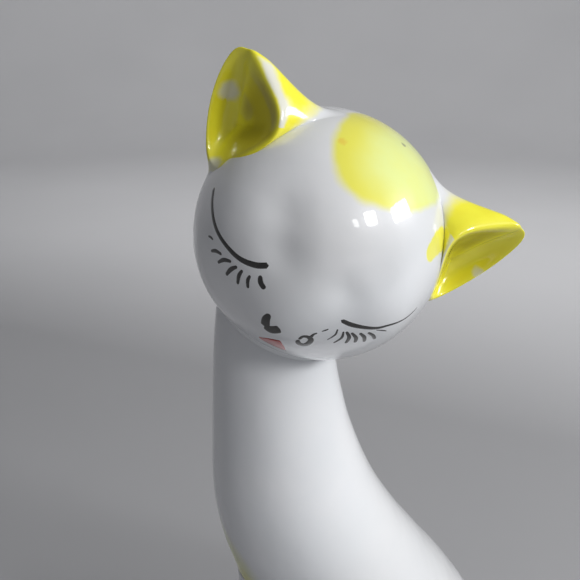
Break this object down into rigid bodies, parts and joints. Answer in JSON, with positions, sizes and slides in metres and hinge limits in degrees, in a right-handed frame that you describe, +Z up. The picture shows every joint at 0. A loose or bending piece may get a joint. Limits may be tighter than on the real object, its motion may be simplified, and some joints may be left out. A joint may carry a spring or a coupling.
{
  "type": "ceramic cat figurine",
  "caption": "Slim seated cat figurine of white glazed ceramic: round head leaning on a long neck, cupped pointed ears, smooth body, tail round one side, flat foot to stand on.",
  "frame": {"origin": "middle of the flat foot, on the surface the figurine stands on", "axes": "+Z up; the chest and forelegs face -Y; the cat's left side, with the tail, is +X"},
  "size_m": [0.0694, 0.0852, 0.1866],
  "materials": {
    "white_glaze": "clear gloss glaze over white body",
    "yellow_glaze": "lemon underglaze colour under clear gloss glaze",
    "bare_clay": "unglazed, matt",
    "luting_slip": "fired slip under glaze",
    "black_enamel": "painted line under clear gloss glaze",
    "red_enamel": "painted line under clear gloss glaze"
  },
  "bodies": {
    "root": {"body_casting": "white_glaze", "base_disc": "bare_clay", "neck_slip_joint": "luting_slip", "head_casting": "white_glaze", "ear_left": "yellow_glaze", "ear_right": "yellow_glaze", "foreleg_left": "white_glaze", "foreleg_right": "white_glaze", "hind_paw_left": "white_glaze", "hind_paw_right": "white_glaze", "tail": "white_glaze"}
  },
  "joints": []
}
